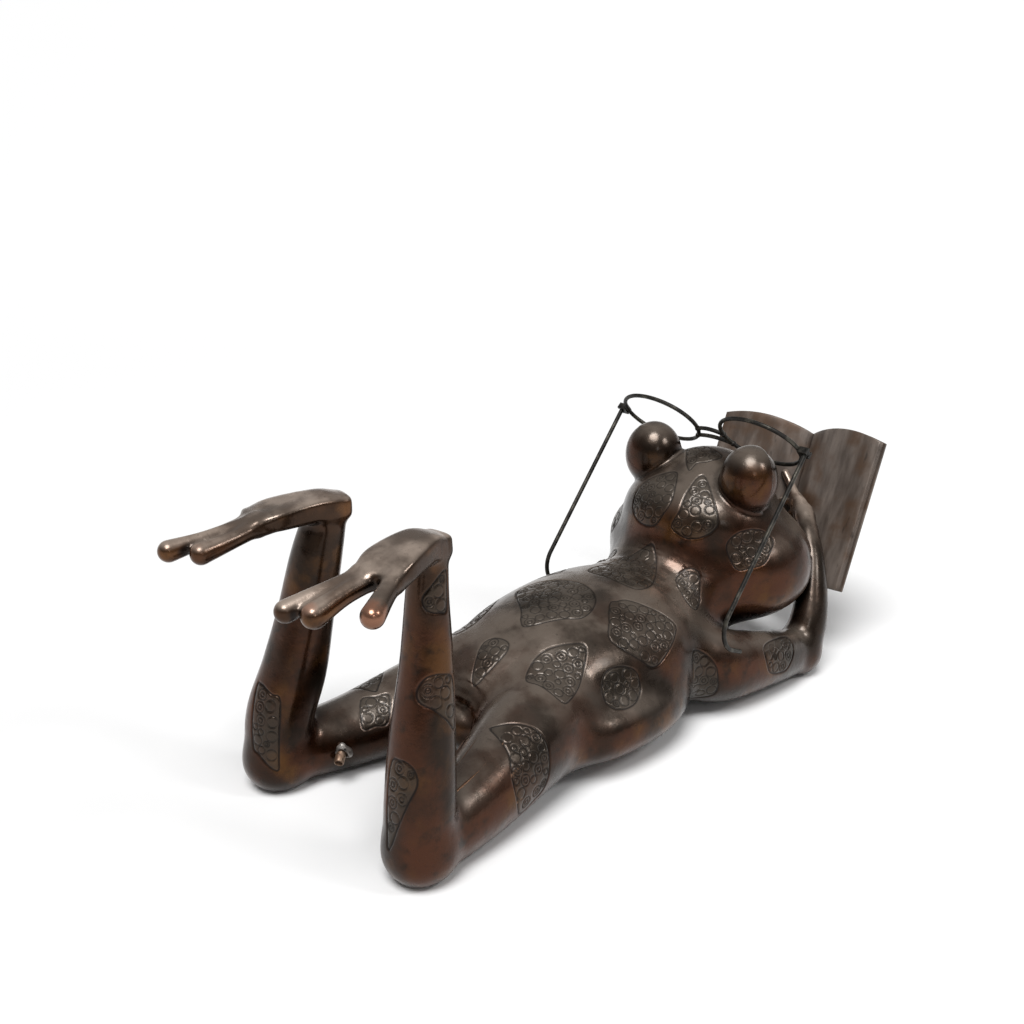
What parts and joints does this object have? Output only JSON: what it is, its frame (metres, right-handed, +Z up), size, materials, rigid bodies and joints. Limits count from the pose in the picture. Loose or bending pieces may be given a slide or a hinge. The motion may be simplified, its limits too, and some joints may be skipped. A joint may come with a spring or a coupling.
{
  "type": "frog fountain statue",
  "caption": "Bronze frog fountain statue lying on its belly with raised lower legs, reading an open book through loose wire spectacles, with a hose stub on the thigh.",
  "frame": {"origin": "on the floor, under the middle of the statue's overall box", "axes": "+Z up, the frog faces -Y and its left side is +X"},
  "size_m": [0.266, 0.7966, 0.2917],
  "materials": {
    "bronze_skin": "cast bronze with a dark brown waxed patina, satin gloss",
    "bronze_feet": "cast bronze with a lighter brown patina, coppery where it is worn",
    "bronze_pin": "bronze rod, chased flush and patinated with the castings",
    "bronze_book": "cast bronze with a grey-brown patina",
    "dark_wire": "drawn wire, brazed, with a near-black patina",
    "copper_line": "dulled copper tube and brazed fittings"
  },
  "bodies": {
    "frog": {"torso_shell": "bronze_skin", "head_shell": "bronze_skin", "right_thigh": "bronze_skin", "right_shin": "bronze_skin", "right_upper_arm": "bronze_skin", "right_forearm": "bronze_skin", "left_thigh": "bronze_skin", "left_shin": "bronze_skin", "left_upper_arm": "bronze_skin", "left_forearm": "bronze_skin", "right_foot": "bronze_feet", "right_hand": "bronze_feet", "left_foot": "bronze_feet", "left_hand": "bronze_feet", "neck_pin": "bronze_pin", "right_hip_pin": "bronze_pin", "right_knee_pin": "bronze_pin", "right_ankle_pin": "bronze_pin", "right_shoulder_pin": "bronze_pin", "right_elbow_pin": "bronze_pin", "right_wrist_pin": "bronze_pin", "left_hip_pin": "bronze_pin", "left_knee_pin": "bronze_pin", "left_ankle_pin": "bronze_pin", "left_shoulder_pin": "bronze_pin", "left_elbow_pin": "bronze_pin", "left_wrist_pin": "bronze_pin", "book_cover": "bronze_book", "book_right_pages": "bronze_book", "book_left_pages": "bronze_book", "inlet_stub": "copper_line", "inlet_collar": "copper_line", "tube_coupling": "copper_line", "supply_tube": "copper_line", "spout_nozzle": "copper_line"},
    "spectacles": {"right_rim": "dark_wire", "left_rim": "dark_wire", "upper_bridge": "dark_wire", "lower_bridge": "dark_wire", "right_hinge_block": "dark_wire", "left_hinge_block": "dark_wire", "right_hinge_pin": "bronze_pin", "left_hinge_pin": "bronze_pin"},
    "right_temple": {"right_temple": "dark_wire"},
    "left_temple": {"left_temple": "dark_wire"}
  },
  "joints": [
    {"name": "spectacles_lift", "type": "slide", "parent": "frog", "child": "spectacles", "axis": [0, 0, 1], "range_m": [0, 0.12]},
    {"name": "right_temple_fold", "type": "hinge", "parent": "spectacles", "child": "right_temple", "pos_m": [-0.1164, -0.1934, 0.2625], "axis": [0, 0.6691, 0.7431], "range_deg": [-2, 20]},
    {"name": "left_temple_fold", "type": "hinge", "parent": "spectacles", "child": "left_temple", "pos_m": [0.125, -0.1934, 0.2625], "axis": [0, -0.6691, -0.7431], "range_deg": [-2, 20]}
  ]
}
